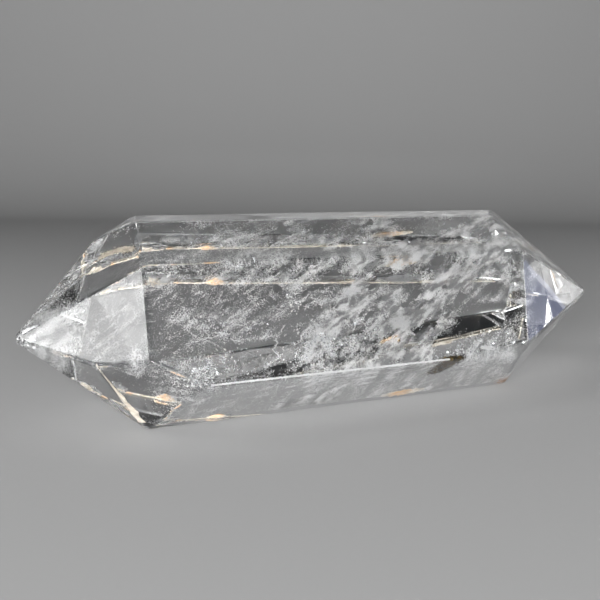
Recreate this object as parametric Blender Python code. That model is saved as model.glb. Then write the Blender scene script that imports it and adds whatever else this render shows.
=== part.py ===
"""A polished point of clear rock crystal, pointed at both ends and lying on its narrow foot face.

The stone is one solid. It is made as a lapidary makes it: a rough block is ground flat, first
along its length and then to a tip at each end, the edges are eased by polishing, and the chips
and the natural hollows that the grinding never reached are left in it. X runs along the stone,
Y away from the viewer and Z up. The origin lies on the foot's plane, under the middle of the
stone's box.
"""

import math
import random

import bmesh
import bpy
from mathutils import Matrix, Vector, noise

MM = 0.001

# The driving dimensions, in millimetres. The length is between the two sharp tips, before the
# polish takes 0.5 mm off each
LENGTH = 80.8
LEFT_TIP = (-0.3, 9.7)
RIGHT_TIP = (-0.1, 10.4)
EASED_EDGE = 0.34
EASED_STEPS = 3

# The long edges as (across, up), from the foot round over the front and down the back
SECTION = {
    "keel": (-6.5, 0.0),
    "prow": (-16.1, 6.6),
    "shoulder": (-7.3, 17.7),
    "ridge": (1.1, 21.6),
    "crest": (7.6, 22.0),
    "spine": (12.7, 8.8),
    "heel": (6.8, 0.0),
}

# The lower back face isn't parallel to the others: the heel swings out towards the right end
HEEL_FLARE = 5.2
FLARE_START = 12.4
FLARE_END = 67.4

# Faces ground to the tip. Each goes through it and crosses two long edges this far from it
LEFT_FACES = {
    "upper_front": (("shoulder", 12.4), ("prow", 10.7)),
    "under_front": (("keel", 12.6), ("prow", 11.8)),
    "top_front": (("shoulder", 12.4), ("ridge", 13.5)),
    "top_back": (("crest", 15.5), ("spine", 16.0)),
    "lower_back": (("spine", 16.0), ("heel", 11.9)),
    "under": (("keel", 12.6), ("heel", 11.9)),
}
RIGHT_FACES = {
    "upper_front": (("shoulder", 18.9), ("prow", 24.9)),
    "under_front": (("keel", 20.1), ("prow", 25.8)),
    "top_front": (("shoulder", 18.9), ("crest", 11.9)),
    "top_back": (("crest", 11.9), ("spine", 10.9)),
    "lower_back": (("spine", 10.9), ("heel", 13.8)),
    "under": (("keel", 20.1), ("heel", 13.8)),
}

# Small faces that take off a corner. Each is the long face that starts at the first edge, turned
# by these degrees about the line that joins two crossings. A distance below zero lies past the tip
LEFT_CORNERS = {
    "chin": ("keel", ("prow", 16.3), ("keel", 12.6), 32.5),
    "temple": ("ridge", ("ridge", 13.5), ("crest", 15.5), 28.5),
}
RIGHT_CORNERS = {
    "chin": ("keel", ("prow", 35.9), ("keel", -29.6), 34.0),
}

# Chips, and hollows of natural skin along the back that the grinding left, as
# (along, across, up), half (length, width, depth) and a tilt in degrees
HOLLOWS = {
    "chin_chip": ((-30.9, -5.9, 2.7), (1.9, 0.5, 0.6), 40.0),
    "prow_nick": ((10.0, -15.6, 7.5), (1.3, 0.5, 0.4), 12.0),
    "spine_end": ((-23.4, 12.9, 9.0), (2.8, 0.9, 1.2), 5.0),
    "spine_left": ((-15.2, 13.1, 8.2), (1.9, 0.5, 0.8), 5.0),
    "spine_right": ((10.8, 14.0, 6.4), (4.8, 0.7, 1.3), 5.0),
}
HOLLOW_ROUGHNESS = 0.32
BLOCK = (100.0, 60.0, 60.0)


def clear_scene():
    for thing in list(bpy.data.objects):
        bpy.data.objects.remove(thing, do_unlink=True)


def facing_out(point, normal):
    """A face as a point and a normal that looks away from the middle of the stone."""
    middle = Vector((0.0, 0.0, RIGHT_TIP[1]))
    if normal.dot(middle - point) > 0.0:
        normal = -normal
    return point, normal.normalized()


def through(a, b, c):
    return facing_out(a, (b - a).cross(c - a))


def long_faces():
    """The faces along the stone, each under the name of the edge where it starts."""
    faces = {}
    edges = list(SECTION)
    for edge, following in zip(edges, edges[1:] + edges[:1]):
        start = Vector((0.0, *SECTION[edge]))
        end = Vector((0.0, *SECTION[following]))
        along = Vector((1.0, 0.0, 0.0))
        if edge == "spine":
            start.x = -LENGTH / 2 + FLARE_START
            end.x = start.x
            along = Vector((FLARE_END - FLARE_START, HEEL_FLARE, 0.0))
        faces[edge] = facing_out(start, (end - start).cross(along))
    return faces


def crossing(faces, edge, x):
    """The point at x on the long edge that two neighbouring faces share."""
    edges = list(SECTION)
    point, normal = faces[edge]
    other, slope = faces[edges[edges.index(edge) - 1]]
    reach = normal.dot(point) - normal.x * x
    reach_other = slope.dot(other) - slope.x * x
    spread = normal.y * slope.z - normal.z * slope.y
    across = (reach * slope.z - reach_other * normal.z) / spread
    up = (normal.y * reach_other - slope.y * reach) / spread
    return Vector((x, across, up))


def end_faces(faces, side, tip, to_tip, corners):
    """The planes that close one end. side is -1 at the left and 1 at the right."""
    half = LENGTH / 2
    apex = Vector((side * half, *tip))

    def at(place):
        edge, distance = place
        return crossing(faces, edge, side * (half - distance))

    planes = [through(apex, at(first), at(second)) for first, second in to_tip.values()]
    for long_face, first, second, degrees in corners.values():
        axis = (at(second) - at(first)).normalized()
        turned = []
        for sense in (-1, 1):
            turn = Matrix.Rotation(math.radians(sense * degrees), 3, axis)
            turned.append(turn @ faces[long_face][1])
        towards_tip = max(turned, key=lambda normal: side * normal.x)
        planes.append((at(first), towards_tip))
    return planes


def ground_stone():
    """Grinds the block flat on every plane, then eases the edges as polishing does."""
    mesh = bmesh.new()
    bmesh.ops.create_cube(mesh, size=1.0)
    bmesh.ops.scale(mesh, vec=BLOCK, verts=mesh.verts)
    faces = long_faces()
    planes = list(faces.values())
    planes += end_faces(faces, -1, LEFT_TIP, LEFT_FACES, LEFT_CORNERS)
    planes += end_faces(faces, 1, RIGHT_TIP, RIGHT_FACES, RIGHT_CORNERS)
    for point, normal in planes:
        everything = mesh.verts[:] + mesh.edges[:] + mesh.faces[:]
        cut = bmesh.ops.bisect_plane(
            mesh,
            geom=everything,
            dist=1e-5,
            plane_co=point,
            plane_no=normal,
            clear_outer=True,
        )
        rim = [item for item in cut["geom_cut"] if isinstance(item, bmesh.types.BMEdge)]
        bmesh.ops.edgeloop_fill(mesh, edges=rim)
    bmesh.ops.remove_doubles(mesh, verts=mesh.verts, dist=0.02)
    bmesh.ops.bevel(
        mesh,
        geom=mesh.edges[:],
        offset=EASED_EDGE,
        offset_type="OFFSET",
        segments=EASED_STEPS,
        profile=0.5,
        affect="EDGES",
        clamp_overlap=True,
        material=-1,
    )
    bmesh.ops.recalc_face_normals(mesh, faces=mesh.faces)
    return mesh


def to_origin(mesh):
    """The move that brings the origin under the middle of the stone's box, on its foot."""
    lowest = Vector(min(vertex.co[axis] for vertex in mesh.verts) for axis in range(3))
    highest = Vector(max(vertex.co[axis] for vertex in mesh.verts) for axis in range(3))
    middle = (lowest + highest) / 2
    return Vector((-middle.x, -middle.y, -lowest.z))


def hollow_cutter(name, place, size, turn, shift):
    """A lump with an uneven skin, which leaves a rough shallow hollow where it is taken out."""
    mesh = bmesh.new()
    bmesh.ops.create_icosphere(mesh, subdivisions=3, radius=1.0)
    for vertex in mesh.verts:
        swell = noise.noise(vertex.co * 2.5 + shift) * HOLLOW_ROUGHNESS
        vertex.co *= 1.0 + swell
    bmesh.ops.scale(mesh, vec=[side * MM for side in size], verts=mesh.verts)
    data = bpy.data.meshes.new(name)
    mesh.to_mesh(data)
    mesh.free()
    cutter = bpy.data.objects.new(name, data)
    cutter.location = place * MM
    cutter.rotation_euler = (0.0, math.radians(turn), 0.0)
    cutter.hide_render = True
    cutter.display_type = "WIRE"
    bpy.context.scene.collection.objects.link(cutter)
    return cutter


def quartz():
    """Clear rock crystal: near colourless, polished to a gloss."""
    material = bpy.data.materials.new("rock_crystal")
    material.use_nodes = True
    shader = material.node_tree.nodes["Principled BSDF"]
    shader.inputs["Base Color"].default_value = (0.86, 0.87, 0.88, 1.0)
    shader.inputs["Roughness"].default_value = 0.06
    shader.inputs["Metallic"].default_value = 0.0
    shader.inputs["IOR"].default_value = 1.544
    shader.inputs["Transmission Weight"].default_value = 0.9
    return material


def build():
    clear_scene()
    mesh = ground_stone()
    move = to_origin(mesh)
    bmesh.ops.translate(mesh, vec=move, verts=mesh.verts)
    bmesh.ops.scale(mesh, vec=(MM, MM, MM), verts=mesh.verts)
    data = bpy.data.meshes.new("quartz_point")
    mesh.to_mesh(data)
    mesh.free()
    data.materials.append(quartz())
    stone = bpy.data.objects.new("quartz_point", data)
    bpy.context.scene.collection.objects.link(stone)
    rng = random.Random(5)
    for name, (place, size, turn) in HOLLOWS.items():
        skin = Vector((rng.uniform(-9.0, 9.0), rng.uniform(-9.0, 9.0), 0.0))
        cutter = hollow_cutter(name, Vector(place) + move, size, turn, skin)
        cut = stone.modifiers.new(name, "BOOLEAN")
        cut.operation = "DIFFERENCE"
        cut.solver = "EXACT"
        cut.object = cutter


build()
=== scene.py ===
"""Looks of a polished rock crystal point that is ground to a tip at both ends.

The stone, the mist and cracks inside it, its remains of natural skin and its iron stains are built
one after another, in the frame of the CAD part, and then the studio. Sizes are in millimetres
unless a name says otherwise.
"""

import math

import bmesh
import bpy
import numpy as np
from mathutils import Matrix, Vector, noise
from mathutils.bvhtree import BVHTree


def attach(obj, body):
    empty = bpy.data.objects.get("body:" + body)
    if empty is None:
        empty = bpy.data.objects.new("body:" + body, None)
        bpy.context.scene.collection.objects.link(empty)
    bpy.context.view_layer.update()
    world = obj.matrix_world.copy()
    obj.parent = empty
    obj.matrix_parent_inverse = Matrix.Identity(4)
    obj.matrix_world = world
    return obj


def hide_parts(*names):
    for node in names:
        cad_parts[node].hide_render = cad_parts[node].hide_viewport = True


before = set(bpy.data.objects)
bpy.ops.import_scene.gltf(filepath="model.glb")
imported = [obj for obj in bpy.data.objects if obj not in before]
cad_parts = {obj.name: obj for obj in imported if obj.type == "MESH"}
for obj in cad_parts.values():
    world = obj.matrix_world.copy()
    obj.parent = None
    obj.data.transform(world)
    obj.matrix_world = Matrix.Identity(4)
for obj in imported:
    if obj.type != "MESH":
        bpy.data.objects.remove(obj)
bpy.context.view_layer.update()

# THE STONE
# One piece of clear rock crystal, ground flat face by face and polished to a gloss, which also
# eased every edge a little. The wheel never reached the natural hollows along the back edge, so
# they are still rough.
MM = 0.001
FLAT_WITHIN = 0.9998
HOLLOW_FROM = 0.13


def tint(code):
    """An sRGB hex colour as the linear colour that a shader reads."""
    channels = [int(code[start : start + 2], 16) / 255.0 for start in (0, 2, 4)]
    linear = [c / 12.92 if c <= 0.04045 else ((c + 0.055) / 1.055) ** 2.4 for c in channels]
    return (*linear, 1.0)


def add_node(tree, kind, settings=None, values=None, links=None):
    """Adds a node with its settings, its socket values and the sockets that feed it."""
    node = tree.nodes.new(kind)
    for key, value in (settings or {}).items():
        setattr(node, key, value)
    for key, value in (values or {}).items():
        node.inputs[key].default_value = value
    for key, source in (links or {}).items():
        tree.links.new(source, node.inputs[key])
    return node


def new_material(name):
    """A material with an empty tree, its output node and the piece's own coordinates."""
    material = bpy.data.materials.new(name)
    material.use_nodes = True
    tree = material.node_tree
    tree.nodes.clear()
    output = add_node(tree, "ShaderNodeOutputMaterial")
    place = add_node(tree, "ShaderNodeTexCoord")
    return material, tree, output, place.outputs["Object"]


def rock_crystal(name, roughness, wave_height):
    """Clear quartz. The polishing wheel leaves waves some 6 mm long that bend what is seen through."""
    material, tree, output, place = new_material(name)
    waves = add_node(
        tree,
        "ShaderNodeTexNoise",
        values={"Scale": 1.0 / (6.0 * MM), "Detail": 1.0},
        links={"Vector": place},
    )
    bump = add_node(
        tree,
        "ShaderNodeBump",
        values={"Strength": 1.0, "Distance": wave_height * MM},
        links={"Height": waves.outputs["Fac"]},
    )
    shader = add_node(
        tree,
        "ShaderNodeBsdfPrincipled",
        values={
            "Base Color": tint("FBFBFB"),
            "Roughness": roughness,
            "IOR": 1.544,
            "Transmission Weight": 1.0,
        },
        links={"Normal": bump.outputs["Normal"]},
    )
    depth = add_node(
        tree, "ShaderNodeVolumeAbsorption", values={"Color": tint("ECEDEE"), "Density": 3.0}
    )
    tree.links.new(shader.outputs["BSDF"], output.inputs["Surface"])
    tree.links.new(depth.outputs["Volume"], output.inputs["Volume"])
    return material


def flat_faces(mesh):
    """The normal and the reach in metres of each ground face of the stone."""
    found = []
    for face in sorted(mesh.faces, key=lambda face: -face.calc_area()):
        reach = face.normal.dot(face.verts[0].co)
        wide = face.calc_area() > 0.3 * MM * face.calc_perimeter()
        if wide and not any(face.normal.dot(normal) > FLAT_WITHIN for normal, known in found):
            found.append((face.normal.copy(), reach))
    return np.array([normal for normal, reach in found]), np.array([reach for normal, reach in found])


def join_piece(name, mesh_or_data, *materials):
    """Makes the object of a finished piece and lets it ride on the stone's body."""
    data = mesh_or_data
    if isinstance(data, bmesh.types.BMesh):
        data = bpy.data.meshes.new(name)
        mesh_or_data.to_mesh(data)
        mesh_or_data.free()
    for material in materials:
        data.materials.append(material)
    piece = bpy.data.objects.new(name, data)
    bpy.context.scene.collection.objects.link(piece)
    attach(piece, "root")
    return piece


solid = bmesh.new()
solid.from_mesh(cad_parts["quartz_point"].data)
bmesh.ops.remove_doubles(solid, verts=solid.verts, dist=0.001 * MM)
bmesh.ops.dissolve_limit(
    solid, angle_limit=math.radians(0.05), verts=solid.verts, edges=solid.edges
)
solid.normal_update()
NORMALS, REACHES = flat_faces(solid)
SURFACE = BVHTree.FromBMesh(solid)
for face in solid.faces:
    depth = float((REACHES - NORMALS @ np.array(face.calc_center_median())).min()) / MM
    if float((NORMALS @ np.array(face.normal)).max()) > FLAT_WITHIN:
        face.material_index = 0
    elif depth < HOLLOW_FROM:
        face.material_index = 1
    else:
        face.material_index = 2
stone = join_piece(
    "polished_stone",
    solid,
    rock_crystal("polished_rock_crystal", 0.02, 0.010),
    rock_crystal("eased_crystal_edge", 0.07, 0.010),
    rock_crystal("raw_crystal_hollow", 0.60, 0.060),
)
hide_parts("quartz_point")

# THE MIST
# Healed cracks inside the quartz: veils of tiny flat cavities that scatter the light, one behind
# another under the front, top and lower faces, with clear windows between them. Each cavity is a
# real little flake here.

# How a look bends in through each face: the y of a plane, then the move along x and z for each
# millimetre behind it. The spread makes the move along x grow with x
FRONT_LEAN = (-9.3, 0.40, 0.0067, -0.425)
TOP_LEAN = (0.0, 0.42, 0.0075, -0.665)
LOW_LEAN = (-10.1, 0.36, 0.0067, 0.39)

# Clouds and windows on that plane, as (x, z, half length, half height, turn in degrees, strength)
FRONT_CLOUDS = [
    (-21.0, 16.0, 6.5, 1.5, 5, 0.3),
    (-13.0, 17.0, 7.5, 1.5, 0, 0.4),
    (-24.5, 12.0, 2.0, 1.0, 25, 0.4),
    (-20.0, 11.0, 2.5, 2.0, 60, 0.5),
    (-9.5, 8.5, 4.5, 1.5, 55, 0.9),
    (-6.0, 12.5, 6.0, 2.0, 50, 0.8),
    (0.0, 8.0, 5.5, 3.0, 50, 1.0),
    (5.5, 12.0, 6.5, 3.0, 40, 0.8),
    (12.5, 16.5, 6.0, 2.0, 10, 0.7),
    (3.0, 18.0, 5.0, 1.0, 0, 1.0),
    (-2.5, 4.0, 7.0, 1.5, 10, 0.9),
    (-4.0, 15.5, 3.5, 1.5, 80, 0.6),
    (18.0, 11.5, 0.5, 5.5, 90, 0.4),
]
FRONT_WINDOWS = [
    (-19.0, 7.0, 4.5, 2.8, 20, 1.0),
    (-14.0, 7.5, 3.5, 3.0, 40, 1.0),
    (-11.5, 11.5, 2.5, 1.5, 35, 0.9),
    (7.0, 6.0, 1.5, 2.5, 75, 1.0),
    (11.5, 9.0, 3.0, 3.5, 60, 1.0),
    (14.5, 10.0, 1.5, 5.0, 90, 1.0),
    (1.5, 15.0, 2.5, 1.0, 20, 0.7),
    (2.0, 13.0, 1.5, 1.0, 10, 0.7),
    (-22.5, 16.0, 3.5, 1.5, 10, 0.6),
    (-27.0, 10.5, 1.5, 3.0, 90, 0.6),
]
TOP_CLOUDS = [
    (-15.0, 17.5, 4.5, 1.0, 0, 0.5),
    (-9.0, 20.5, 2.0, 2.0, 70, 0.4),
    (-1.5, 17.0, 7.0, 1.0, 0, 0.5),
    (4.0, 21.5, 3.0, 2.0, 0, 0.6),
    (19.5, 18.0, 5.5, 4.0, 5, 0.9),
    (9.5, 15.5, 7.5, 1.0, 0, 0.5),
]
TOP_WINDOWS = [
    (-24.5, 19.5, 5.5, 3.5, 0, 1.0),
    (-13.0, 21.0, 3.0, 1.5, 0, 0.7),
    (-3.0, 21.0, 4.0, 2.0, 0, 0.8),
    (11.0, 20.0, 4.5, 2.5, 0, 0.9),
]
LOW_CLOUDS = [
    (-20.0, 3.5, 5.0, 1.0, 20, 0.3),
    (-10.0, 2.0, 3.5, 2.0, 25, 0.9),
    (-3.5, 4.5, 3.5, 1.0, 30, 0.4),
    (2.0, 3.0, 3.5, 2.0, 30, 0.8),
    (9.0, 1.5, 4.5, 1.5, 20, 0.5),
    (15.5, 2.5, 3.0, 2.5, 60, 0.5),
]
LOW_WINDOWS = [
    (-19.0, 4.0, 5.0, 2.5, 0, 0.8),
    (-15.0, 4.5, 2.5, 1.5, 20, 0.6),
    (-5.0, 3.0, 2.0, 1.0, 20, 0.8),
    (6.5, 4.5, 2.0, 1.0, 20, 0.8),
]


def face_near(*wanted):
    """Which ground face has the normal nearest to this one."""
    return int(np.argmax(NORMALS @ np.array(wanted)))


PROW_FACE = face_near(0.0, -0.784, 0.621)
SHOULDER_FACE = face_near(0.0, -0.421, 0.907)
KEEL_FACE = face_near(0.0, -0.567, -0.824)


def inside(spots, skin):
    """Which spots lie in the stone, at least skin under its surface."""
    return ((spots * MM) @ NORMALS.T < REACHES - skin * MM).all(axis=1)


def patches(x, z, rows, power):
    """The strongest of the soft-edged ovals at each place."""
    total = np.zeros(len(x))
    for cx, cz, half, tall, turn, strength in rows:
        c, s = math.cos(math.radians(turn)), math.sin(math.radians(turn))
        u = ((x - cx) * c + (z - cz) * s) / half
        v = ((z - cz) * c - (x - cx) * s) / tall
        total = np.maximum(total, strength * np.exp(-((u * u + v * v) ** power)))
    return total


def wisps(x, z, turn, long_mm, wide_mm, octaves, seed):
    """Streaky noise from about -1 to 1, drawn out along a direction."""
    c, s = math.cos(math.radians(turn)), math.sin(math.radians(turn))
    u = (x * c + z * s) / long_mm
    v = (z * c - x * s) / wide_mm
    return np.array([noise.fractal(Vector((p, q, seed)), 0.8, 2.0, octaves) for p, q in zip(u, v)])


def mist(x, z, clouds, windows, thin):
    """How thick the mist is at each place on a veil, from 0 to about 1."""
    warp = wisps(x, z, 20, 4.0, 4.0, 3, 7.0) * 1.3
    streaks = wisps(x + warp, z + warp, 34, 4.6, 1.9, 6, 1.0)
    cotton = wisps(x - warp, z + warp, 60, 0.9, 0.6, 3, 4.0)
    cloud = patches(x + warp, z + warp * 0.7, clouds, 1.0) + thin
    clear = patches(x + warp * 0.5, z + warp * 0.4, windows, 3.0)
    thick = np.clip(cloud * (0.72 + 1.5 * streaks + 0.45 * cotton), 0.0, 1.1)
    return thick**1.25 * (1.0 - clear)


def veils(face, lean, low, high, per_mm2, depths, picture, rng):
    """Cavities on sheets under a ground face, as many for each square millimetre as it needs."""
    clouds, windows, thin = picture
    count = int(per_mm2 * (high[0] - low[0]) * (high[1] - low[1]))
    x, z = rng.uniform(low[0], high[0], count), rng.uniform(low[1], high[1], count)
    kept = rng.uniform(0.0, 1.0, count) < mist(x, z, clouds, windows, thin)
    x, z = x[kept], z[kept]
    plane, across, spread, rise = lean
    normal, reach = NORMALS[face], REACHES[face] / MM
    move = across + spread * x
    way = move * normal[0] + normal[1] + rise * normal[2]
    enter = (reach - normal[0] * x - normal[1] * plane - normal[2] * z) / way
    pick = wisps(x, z, 15, 9.0, 5.0, 2, 12.0) * 0.9 + 0.5 + rng.normal(0.0, 0.14, len(x))
    level = np.clip((pick * len(depths)).astype(int), 0, len(depths) - 1)
    sag = wisps(x, z, 0, 11.0, 7.0, 2, 15.0) * 0.5
    behind = enter + np.array(depths)[level] + sag + rng.normal(0.0, 0.10, len(x))
    spots = np.stack([x + move * behind, plane + behind, z + rise * behind], axis=1)
    return spots[inside(spots, 0.25)]


def shown_at(spots, lean):
    """Where spots deep in the stone show on the plane of a lean, as x and z."""
    plane, across, spread, rise = lean
    behind = spots[:, 1] - plane
    return (spots[:, 0] - across * behind) / (1.0 + spread * behind), spots[:, 2] - rise * behind


def fluid_cavities(name, colour, roughness, metallic, through):
    """Cavities filled with water and gas: white from any side, and some throw a spark."""
    material, tree, output, place = new_material(name)
    shader = add_node(
        tree,
        "ShaderNodeBsdfPrincipled",
        values={"Base Color": tint(colour), "Roughness": roughness, "Metallic": metallic},
    )
    passed = add_node(tree, "ShaderNodeBsdfTranslucent", values={"Color": tint(colour)})
    both = add_node(
        tree,
        "ShaderNodeMixShader",
        values={"Fac": through},
        links={1: shader.outputs["BSDF"], 2: passed.outputs["BSDF"]},
    )
    tree.links.new(both.outputs["Shader"], output.inputs["Surface"])
    return material


def swarm(name, spots, small, large, rng, material):
    """One small three-cornered flake at each spot, turned at random."""
    mesh = bmesh.new()
    rows = int(math.ceil(len(spots) / 600.0)) + 1
    bmesh.ops.create_grid(mesh, x_segments=301, y_segments=rows, size=0.5)
    bmesh.ops.triangulate(mesh, faces=mesh.faces)
    bmesh.ops.split_edges(mesh, edges=mesh.edges)
    mesh.faces.ensure_lookup_table()
    bmesh.ops.delete(mesh, geom=mesh.faces[len(spots) :], context="FACES")
    data = bpy.data.meshes.new(name)
    mesh.to_mesh(data)
    mesh.free()
    count = len(data.polygons)
    size = rng.uniform(small, large, count)[:, None]
    along = rng.normal(0.0, 1.0, (count, 3))
    along /= np.linalg.norm(along, axis=1)[:, None]
    across = np.cross(along, rng.normal(0.0, 1.0, (count, 3)))
    across /= np.linalg.norm(across, axis=1)[:, None]
    corner = np.zeros(count * 3, int)
    data.loops.foreach_get("vertex_index", corner)
    corner = corner.reshape(-1, 3)
    places = np.zeros((len(data.vertices), 3))
    for step, turn in enumerate((0.0, 2.1, 4.2)):
        reach = math.cos(turn) * along + math.sin(turn) * across
        places[corner[:, step]] = spots[:count] + size * reach
    data.vertices.foreach_set("co", (places * MM).ravel())
    data.update()
    return join_piece(name, data, material)


def cloud_at(centre, half, count, rng):
    """Cavities in a soft round cloud."""
    spots = rng.normal(0.0, 0.5, (count, 3)) * np.array(half) + np.array(centre)
    return spots[inside(spots, 0.25)]


rng = np.random.default_rng(11)
front = (FRONT_CLOUDS, FRONT_WINDOWS, 0.14)
top = (TOP_CLOUDS, TOP_WINDOWS, 0.12)
low = (LOW_CLOUDS, LOW_WINDOWS, 0.10)
spots = np.concatenate(
    [
        veils(PROW_FACE, FRONT_LEAN, (-36.0, -2.0), (34.0, 20.5), 1800, (0.7, 1.9, 3.3, 5.0), front, rng),
        veils(SHOULDER_FACE, TOP_LEAN, (-34.0, 13.0), (34.0, 23.0), 1500, (0.6, 1.5, 2.6), top, rng),
        veils(KEEL_FACE, LOW_LEAN, (-30.0, -0.5), (30.0, 7.0), 1700, (0.5, 1.1), low, rng),
        cloud_at((-36.2, -0.8, 9.8), (3.2, 3.8, 4.0), 36000, rng),
        cloud_at((36.4, -0.2, 10.8), (2.6, 3.4, 3.6), 20000, rng),
        cloud_at((16.0, 5.0, 20.9), (16.0, 3.0, 0.6), 12000, rng),
        cloud_at((17.0, -13.4, 6.4), (8.0, 1.3, 1.0), 12000, rng),
        cloud_at((-26.0, -9.0, 5.0), (2.0, 2.0, 2.0), 1200, rng),
    ]
)
x, z = shown_at(spots, FRONT_LEAN)
tone = wisps(x, z, 34, 2.4, 0.9, 5, 21.0) + rng.normal(0.0, 0.10, len(spots))
ranked = np.array_split(np.argsort(tone), 3)
# The white material also paints the highlight lines just under the long edges.
white = fluid_cavities("white_fluid_cavities_and_edge_highlights", "FFFFFF", 0.45, 0.0, 0.5)
pale = fluid_cavities("pale_fluid_cavities", "E3E3E2", 0.45, 0.0, 0.5)
thin = fluid_cavities("thin_fluid_cavities", "B2B2B3", 0.45, 0.0, 0.5)
swarm("mist_thin", spots[ranked[0]], 0.030, 0.070, rng, thin)
swarm("mist_pale", spots[ranked[1]], 0.032, 0.075, rng, pale)
swarm("mist_bright", spots[ranked[2]], 0.036, 0.085, rng, white)

# THE FROST, THE OPEN CRACKS AND THE PAINTED EDGE HIGHLIGHTS
# Coarser cavities sit along the borders of the clear windows and glitter like frost. A few cracks
# that never healed show as bright threads, and lines of white cavities just under the long edges paint the highlight
# lines along them.
GLINT_SHARE = 0.35

# Patches of frost on the plane of the front lean, in the same order as the clouds
FROST = [
    (-23.0, 6.0, 2.5, 1.0, 10, 0.6),
    (-9.5, 7.0, 2.5, 2.5, 45, 1.0),
    (-17.5, 10.5, 2.0, 0.5, 0, 0.4),
    (-20.0, 10.5, 1.5, 1.0, 0, 0.5),
    (-4.0, 10.0, 2.5, 2.0, 0, 0.4),
    (11.5, 5.5, 3.5, 1.0, 20, 0.6),
    (-11.5, 13.5, 3.5, 1.0, 10, 0.4),
    (-19.5, 18.5, 2.0, 0.5, 5, 0.5),
]

# Cracks as ((x, z), (x, z) where they cross the front lean's plane), the y where they start and
# end, the half width and how many cavities
THREADS = [
    ((-13.9, 10.4), (-15.9, 5.3), (-12.0, -4.0), 0.10, 500),
    ((-26.6, 12.3), (-21.3, 8.0), (-12.0, -6.0), 0.06, 300),
    ((-4.3, 15.8), (-4.7, 10.0), (-12.0, 4.0), 0.25, 2600),
    ((-11.0, 7.6), (-5.9, 14.3), (-11.0, 0.0), 0.35, 2200),
    ((-19.4, 8.9), (-14.6, 9.2), (-12.0, -6.0), 0.18, 700),
    ((-11.4, 3.9), (-9.8, 9.6), (-12.0, -3.0), 0.30, 1200),
]


def leaning_thread(row, rng):
    """Cavities in a crack that leans back like the veils, so the front face shows it edge on."""
    start, end, (near, far), half, count = row
    plane, across, spread, rise = FRONT_LEAN
    share = rng.uniform(0.0, 1.0, count)
    x = start[0] + (end[0] - start[0]) * share + rng.normal(0.0, half, count)
    z = start[1] + (end[1] - start[1]) * share + rng.normal(0.0, half, count)
    x = x + wisps(x, z, 0, 2.0, 2.0, 3, 4.0) * 0.9
    depth = rng.uniform(near, far, count) - plane
    return np.stack([x + (across + spread * x) * depth, depth + plane, z + rise * depth], axis=1)


def edge_line(first, second):
    """The sharp line where two ground faces would meet: a point and a direction, in millimetres."""
    way = np.cross(NORMALS[first], NORMALS[second])
    way /= np.linalg.norm(way)
    rows = np.stack([NORMALS[first], NORMALS[second], way])
    return np.linalg.solve(rows, [REACHES[first] / MM, REACHES[second] / MM, 0.0]), way


def crumbs(points, half, count, rng):
    """Crumbs along a line of straight stretches, swelling and thinning on their way."""
    points = np.array(points)
    pieces = rng.integers(0, len(points) - 1, count)
    share = rng.uniform(0.0, 1.0, count)[:, None]
    along = points[pieces] * (1.0 - share) + points[pieces + 1] * share
    swell = 0.6 + 0.8 * np.abs(wisps(along[:, 0], along[:, 1], 0, 1.2, 1.2, 3, 2.0))
    return along + rng.normal(0.0, half, (count, 3)) * swell[:, None]


TOP_FACE = face_near(0.0, -0.061, 0.998)
CREST_FACE = face_near(0.0, 0.933, 0.360)
SPINE_FACE = face_near(-0.078, 0.828, -0.555)


def painted_edge_highlight(first, second, start, end, deep, half, count, rng):
    """Cavities close under an edge, between two places along X, that paint a bright highlight line along it."""
    point, way = edge_line(first, second)
    x = rng.uniform(start, end, count)
    centre = point + ((x - point[0]) / way[0])[:, None] * way
    inward = -(NORMALS[first] + NORMALS[second])
    inward /= np.linalg.norm(inward)
    return centre + inward * deep + rng.normal(0.0, half, (count, 3))


def frost_spots(per_mm2, rng):
    """Frost in patches on the borders of the windows, within 3 mm of the front face."""
    count = int(per_mm2 * 48.0 * 18.0)
    x, z = rng.uniform(-28.0, 20.0, count), rng.uniform(3.0, 21.0, count)
    grain = wisps(x, z, 40, 1.3, 0.8, 4, 3.0)
    thick = patches(x, z, FROST, 1.0) * np.clip(0.15 + 2.4 * grain, 0.0, 1.0)
    kept = rng.uniform(0.0, 1.0, count) < thick
    x, z = x[kept], z[kept]
    plane, across, spread, rise = FRONT_LEAN
    normal, reach = NORMALS[PROW_FACE], REACHES[PROW_FACE] / MM
    move = across + spread * x
    way = normal[1] + rise * normal[2]
    behind = (reach - normal[1] * plane - normal[2] * z) / way + rng.uniform(0.5, 3.0, len(x))
    return np.stack([x + move * behind, plane + behind, z + rise * behind], axis=1)


rng = np.random.default_rng(23)
frost = frost_spots(600, rng)
frost = frost[inside(frost, 0.25)]
cracks_and_edge_highlights = [leaning_thread(row, rng) for row in THREADS]
# White cavities just under the prow and shoulder edges: painted highlight lines along these edges.
cracks_and_edge_highlights.append(painted_edge_highlight(PROW_FACE, KEEL_FACE, -24.0, 4.4, 0.33, 0.035, 11000, rng))
cracks_and_edge_highlights.append(painted_edge_highlight(SHOULDER_FACE, TOP_FACE, -26.5, 26.5, 0.16, 0.03, 3600, rng))
cracks_and_edge_highlights.append(crumbs([(-33.6, 4.2, 14.6), (-31.6, 2.4, 16.6), (-30.2, 1.9, 17.4)], 0.06, 900, rng))
cracks_and_edge_highlights.append(crumbs([(-32.2, 3.6, 16.0), (-31.2, 1.4, 17.2)], 0.04, 260, rng))
cracks_and_edge_highlights.append(crumbs([(-31.4, 3.4, 16.7), (-30.4, 0.8, 17.6)], 0.04, 260, rng))
crack_and_highlight_spots = np.concatenate(cracks_and_edge_highlights)
crack_and_highlight_spots = crack_and_highlight_spots[inside(crack_and_highlight_spots, 0.12)]
glint = rng.uniform(0.0, 1.0, len(frost)) < GLINT_SHARE
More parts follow.
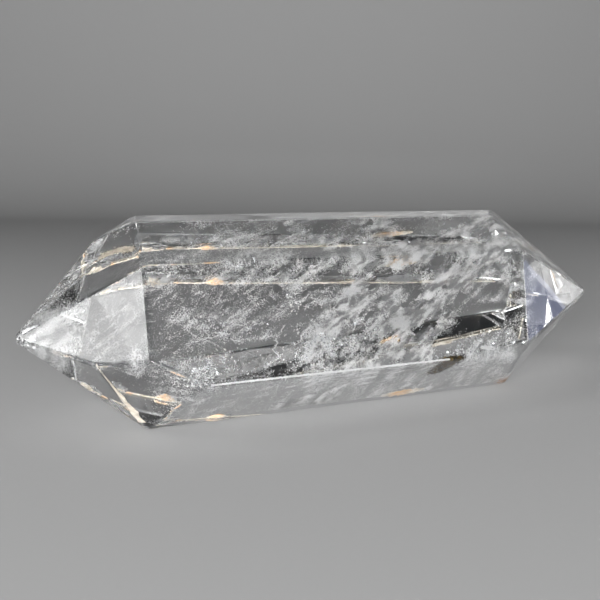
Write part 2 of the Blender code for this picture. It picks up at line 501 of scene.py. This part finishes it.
mirror = fluid_cavities("mirror_bright_cavities", "F4F6F8", 0.18, 1.0, 0.0)
swarm("frost_white", frost[~glint], 0.05, 0.13, rng, white)
swarm("frost_glints", frost[glint], 0.05, 0.15, rng, mirror)
# The open cracks, the crumbs at the left tip and the painted edge highlight lines share this one swarm.
swarm("open_cracks_and_painted_edge_highlights", crack_and_highlight_spots, 0.035, 0.075, rng, white)

# THE NATURAL SKIN
# Where the grinding never reached, the stone keeps its rough, cream-coloured skin: a ragged line
# along the back edge with a few broad patches, and a chipped strip under the left tip. Iron in the
# ground has stained it orange in places.
SKIN_DEPTH = 0.09
SKIN_THICK = 0.10

# How far the skin reaches up and down from the back edge, as (x, half length, up, down)
SPINE_PATCHES = [
    (-23.6, 1.0, 0.9, 0.2),
    (-15.6, 1.1, 0.8, 0.2),
    (4.0, 2.2, 0.4, 0.1),
    (16.5, 2.5, 0.4, 0.1),
]
STAINS = [(-15.6, 13.4, 8.6, 1.7), (11.2, 13.1, 9.6, 2.6), (-20.4, 13.8, 8.0, 0.9)]


def rough_skin():
    """Chalky quartz skin: cream with grey hollows, stained by iron, and quite matt."""
    material, tree, output, place = new_material("rough_quartz_skin")
    grain = add_node(
        tree,
        "ShaderNodeTexNoise",
        values={"Scale": 1.0 / (1.1 * MM), "Detail": 6.0, "Roughness": 0.65},
        links={"Vector": place},
    )
    cream = add_node(tree, "ShaderNodeValToRGB", links={"Fac": grain.outputs["Fac"]})
    cream.color_ramp.elements[0].position = 0.34
    cream.color_ramp.elements[0].color = tint("A59A88")
    cream.color_ramp.elements[1].position = 0.62
    cream.color_ramp.elements[1].color = tint("EFE8DB")
    stained = None
    for x, y, z, radius in STAINS:
        away = add_node(
            tree,
            "ShaderNodeVectorMath",
            {"operation": "DISTANCE"},
            {1: (x * MM, y * MM, z * MM)},
            {0: place},
        )
        near = add_node(
            tree,
            "ShaderNodeMapRange",
            {"interpolation_type": "SMOOTHSTEP"},
            {"From Min": radius * MM, "From Max": radius * 0.35 * MM},
            {"Value": away.outputs["Value"]},
        )
        if stained is None:
            stained = near.outputs["Result"]
        else:
            both = add_node(
                tree, "ShaderNodeMath", {"operation": "MAXIMUM"}, None, {0: stained, 1: near.outputs["Result"]}
            )
            stained = both.outputs["Value"]
    blotched = add_node(
        tree, "ShaderNodeMath", {"operation": "MULTIPLY"}, None, {0: stained, 1: grain.outputs["Fac"]}
    )
    share = add_node(
        tree, "ShaderNodeMath", {"operation": "MULTIPLY"}, {1: 1.7}, {0: blotched.outputs["Value"]}
    )
    share.use_clamp = True
    colour = add_node(
        tree,
        "ShaderNodeMix",
        {"data_type": "RGBA"},
        {7: tint("E0B98E")},
        {0: share.outputs["Value"], 6: cream.outputs["Color"]},
    )
    bump = add_node(
        tree,
        "ShaderNodeBump",
        values={"Strength": 0.8, "Distance": 0.12 * MM},
        links={"Height": grain.outputs["Fac"]},
    )
    shader = add_node(
        tree,
        "ShaderNodeBsdfPrincipled",
        values={"Roughness": 0.88},
        links={"Base Color": colour.outputs[2], "Normal": bump.outputs["Normal"]},
    )
    tree.links.new(shader.outputs["BSDF"], output.inputs["Surface"])
    return material


def crust(name, first, second, start, end, reach, seed, material):
    """A ragged strip of skin along an edge of the stone, pressed a little into it.

    reach gives how far the strip goes at x, as distances from the edge: more than zero on the
    first face, less on the second.
    """
    point, way = edge_line(first, second)
    mesh = bmesh.new()
    bmesh.ops.create_grid(mesh, x_segments=int(abs(end - start) / 0.2), y_segments=12, size=0.5)
    outward = Vector(NORMALS[first] + NORMALS[second]).normalized()
    falls = []
    for number, other in ((first, second), (second, first)):
        fall = Vector(np.cross(way, NORMALS[number])).normalized()
        falls.append(-fall if fall.dot(Vector(NORMALS[other])) > 0.0 else fall)
    for vertex in mesh.verts:
        x = start + (vertex.co.x + 0.5) * (end - start)
        centre = Vector(point + (x - point[0]) / way[0] * way)
        low, high = reach(x)
        side = vertex.co.y * 2.0
        ragged = 1.0 + 0.9 * noise.fractal(Vector((x * 1.4, 5.5 + 2.5 * side, seed)), 0.7, 2.0, 5)
        far = (low + high) / 2 + (high - low) / 2 * side * ragged
        spot = centre + (falls[0] if far > 0.0 else falls[1]) * abs(far)
        hit = SURFACE.ray_cast((spot + outward * 3.0) * MM, -outward)[0]
        ground = hit / MM if hit else spot
        lump = noise.fractal(ground * 1.6, 0.7, 2.0, 4)
        vertex.co = (ground - outward * (SKIN_DEPTH + 0.05 * lump)) * MM
    body = bmesh.ops.extrude_face_region(mesh, geom=mesh.faces[:])
    inner = [item for item in body["geom"] if isinstance(item, bmesh.types.BMVert)]
    bmesh.ops.translate(mesh, verts=inner, vec=-outward * SKIN_THICK * MM)
    bmesh.ops.recalc_face_normals(mesh, faces=mesh.faces)
    return join_piece(name, mesh, material)


def spine_reach(x):
    up, down = 0.13, 0.05
    for centre, half, patch_up, patch_down in SPINE_PATCHES:
        swell = math.exp(-(((x - centre) / half) ** 4))
        up = max(up, patch_up * swell)
        down = max(down, patch_down * swell)
    return -down, up


def stain_reach(x):
    half = 0.75 * max(1.0 - ((x - 11.2) / 3.4) ** 2, 0.02) ** 0.5
    middle = 4.1 + 0.22 * (x - 11.2)
    return middle - half * 0.9, middle + half


def chin_reach(x):
    swell = min(max((x + 32.6) / 3.2, 0.0), 1.0)
    return -(0.05 + 0.40 * swell), 0.05 + 0.40 * swell


skin = rough_skin()
LEFT_UNDER_FACE = face_near(-0.674, -0.379, -0.633)
LEFT_CHIN_FACE = face_near(-0.512, -0.612, -0.603)
crust("back_edge_skin", CREST_FACE, SPINE_FACE, -26.0, 27.0, spine_reach, 2.0, skin)
crust("back_stain", CREST_FACE, SPINE_FACE, 7.9, 14.5, stain_reach, 5.0, skin)
crust("left_chin_skin", LEFT_UNDER_FACE, LEFT_CHIN_FACE, -33.8, -28.5, chin_reach, 9.0, skin)

rng = np.random.default_rng(29)
tip_crumbs = crumbs([(-30.4, 1.2, 17.6), (-29.6, 0.5, 18.2), (-28.6, -0.5, 18.5), (-27.6, -1.9, 18.6)], 0.22, 2600, rng)
swarm("tip_skin_crumbs", tip_crumbs[inside(tip_crumbs, 0.1)], 0.08, 0.18, rng, skin)

# THE IRON STAINS
# Rusty specks of iron oxide that crept into fine cracks just under the lower front face, and a
# brown tinge in the right corner of the foot.
IRON_CLUSTERS = [(5.0, 0.9, 0.6, 0.5, 1500), (4.8, 1.9, 0.7, 0.6, 1500), (4.6, 2.9, 0.5, 0.5, 2000), (4.4, 3.7, 0.4, 0.3, 700)]


def iron_oxide():
    """Brown iron oxide, olive where it is thick: earthy and matt."""
    material, tree, output, place = new_material("brown_iron_oxide")
    spread = add_node(
        tree, "ShaderNodeTexNoise", values={"Scale": 1.0 / (0.5 * MM), "Detail": 2.0}, links={"Vector": place}
    )
    colour = add_node(tree, "ShaderNodeValToRGB", links={"Fac": spread.outputs["Fac"]})
    colour.color_ramp.elements[0].position = 0.40
    colour.color_ramp.elements[0].color = tint("1C1608")
    colour.color_ramp.elements[1].position = 0.60
    colour.color_ramp.elements[1].color = tint("54400F")
    shader = add_node(
        tree, "ShaderNodeBsdfPrincipled", values={"Roughness": 0.9}, links={"Base Color": colour.outputs["Color"]}
    )
    tree.links.new(shader.outputs["BSDF"], output.inputs["Surface"])
    return material


rng = np.random.default_rng(31)
prow_point, prow_way = edge_line(PROW_FACE, KEEL_FACE)
down_keel = np.cross(NORMALS[KEEL_FACE], prow_way)
down_keel *= -1.0 if down_keel[2] > 0.0 else 1.0
stain_spots = []
for x, drop, wide, tall, count in IRON_CLUSTERS:
    along = prow_point + ((rng.normal(x, wide, count) - prow_point[0]) / prow_way[0])[:, None] * prow_way
    fall = rng.normal(drop, tall, count)[:, None] * down_keel
    stain_spots.append(along + fall - rng.uniform(0.26, 0.50, count)[:, None] * NORMALS[KEEL_FACE])
stain_spots = np.concatenate(stain_spots)
stain_spots = stain_spots[inside(stain_spots, 0.20)]
swarm("iron_specks", stain_spots, 0.06, 0.16, rng, iron_oxide())
foot_tinge = cloud_at((20.0, -6.2, 1.1), (1.5, 0.9, 0.9), 900, rng)
swarm("foot_stain", foot_tinge, 0.06, 0.14, rng, fluid_cavities("rusty_fluid_cavities", "B98A5A", 0.6, 0.0, 0.5))

# THE STUDIO
VIEW_TURN = math.radians(26.547)
VIEW_DROP = math.radians(8.677)
VIEW_ROLL = math.radians(0.526)


def studio_floor():
    mesh = bmesh.new()
    bmesh.ops.create_grid(mesh, x_segments=2, y_segments=120, size=1.0)
    radius = 0.30
    start = 0.35
    for vertex in mesh.verts:
        run = (vertex.co.y + 1.0) * 0.9 - 0.6
        x = vertex.co.x * 1.6
        if run < start:
            y, z = run, 0.0
        elif run < start + radius * math.pi / 2:
            turn = (run - start) / radius
            y, z = start + radius * math.sin(turn), radius - radius * math.cos(turn)
        else:
            y, z = start + radius, radius + run - start - radius * math.pi / 2
        vertex.co = (x, y, z - 0.00004)
    bmesh.ops.rotate(mesh, verts=mesh.verts, cent=(0, 0, 0), matrix=Matrix.Rotation(-VIEW_TURN, 3, "Z"))
    for face in mesh.faces:
        face.smooth = True
    bmesh.ops.recalc_face_normals(mesh, faces=mesh.faces)
    data = bpy.data.meshes.new("studio_floor")
    mesh.to_mesh(data)
    mesh.free()
    floor = bpy.data.objects.new("studio_floor", data)
    bpy.context.scene.collection.objects.link(floor)
    material, tree, output, place = new_material("matt_paper")
    shader = add_node(tree, "ShaderNodeBsdfPrincipled", values={"Base Color": tint("999999"), "Roughness": 0.8})
    tree.links.new(shader.outputs["BSDF"], output.inputs["Surface"])
    data.materials.append(material)
    return floor


floor = studio_floor()


def soft_box(name, turn, rise, distance, wide, high, radiance, spread, aim=(0.0, 0.0, 10.0)):
    data = bpy.data.lights.new(name, "AREA")
    data.shape = "RECTANGLE"
    data.size = wide
    data.size_y = high
    data.energy = radiance * wide * high * math.pi
    data.spread = math.radians(spread)
    light = bpy.data.objects.new(name, data)
    turn, rise = math.radians(turn), math.radians(rise)
    way = Vector((math.sin(turn) * math.cos(rise), math.cos(turn) * math.cos(rise), math.sin(rise)))
    light.location = way * distance + Vector(aim) * MM
    light.rotation_euler = way.to_track_quat("Z", "Y").to_euler()
    bpy.context.scene.collection.objects.link(light)
    return light


soft_box("glare_box", -80.0, 39.5, 0.45, 0.17, 0.13, 6.5, 180.0, (-33.0, -8.0, 11.0))
soft_box("front_box", -150.0, 9.0, 0.50, 0.41, 0.15, 58.0, 180.0)
soft_box("right_low", 104.0, 9.0, 0.40, 0.24, 0.12, 4.0, 180.0)
soft_box("top_panel", 28.0, 8.0, 0.50, 0.24, 0.05, 0.20, 180.0)
soft_box("tip_box", 75.3, 6.2, 0.40, 0.036, 0.05, 1.2, 180.0, (36.0, -6.0, 12.0))
soft_box("tip_sky", 79.8, 6.7, 0.39, 0.030, 0.05, 0.9, 180.0, (36.0, -6.0, 12.0)).data.color = (0.55, 0.62, 1.0)

world = bpy.data.worlds.new("dim_room")
bpy.context.scene.world = world
world.use_nodes = True
world.node_tree.nodes["Background"].inputs["Color"].default_value = tint("2A2B2C")
world.node_tree.nodes["Background"].inputs["Strength"].default_value = 1.0

camera_data = bpy.data.cameras.new("camera")
camera_data.lens = 51.09
camera_data.sensor_width = 36.0
camera_data.clip_start = 0.005
camera = bpy.data.objects.new("camera", camera_data)
bpy.context.scene.collection.objects.link(camera)
forward = Vector(
    (
        math.sin(VIEW_TURN) * math.cos(VIEW_DROP),
        math.cos(VIEW_TURN) * math.cos(VIEW_DROP),
        -math.sin(VIEW_DROP),
    )
)
level = Vector((math.cos(VIEW_TURN), -math.sin(VIEW_TURN), 0.0))
upright = level.cross(forward)
right = math.cos(VIEW_ROLL) * level + math.sin(VIEW_ROLL) * upright
up = math.cos(VIEW_ROLL) * upright - math.sin(VIEW_ROLL) * level
pose = Matrix((right, up, -forward)).transposed().to_4x4()
camera.matrix_world = Matrix.Translation(Vector((-52.433, -91.202, 27.470)) * MM) @ pose
bpy.context.scene.camera = camera
bpy.context.scene.view_settings.view_transform = "Standard"
bpy.context.scene.cycles.max_bounces = 24
bpy.context.scene.cycles.glossy_bounces = 16
bpy.context.scene.cycles.transmission_bounces = 24
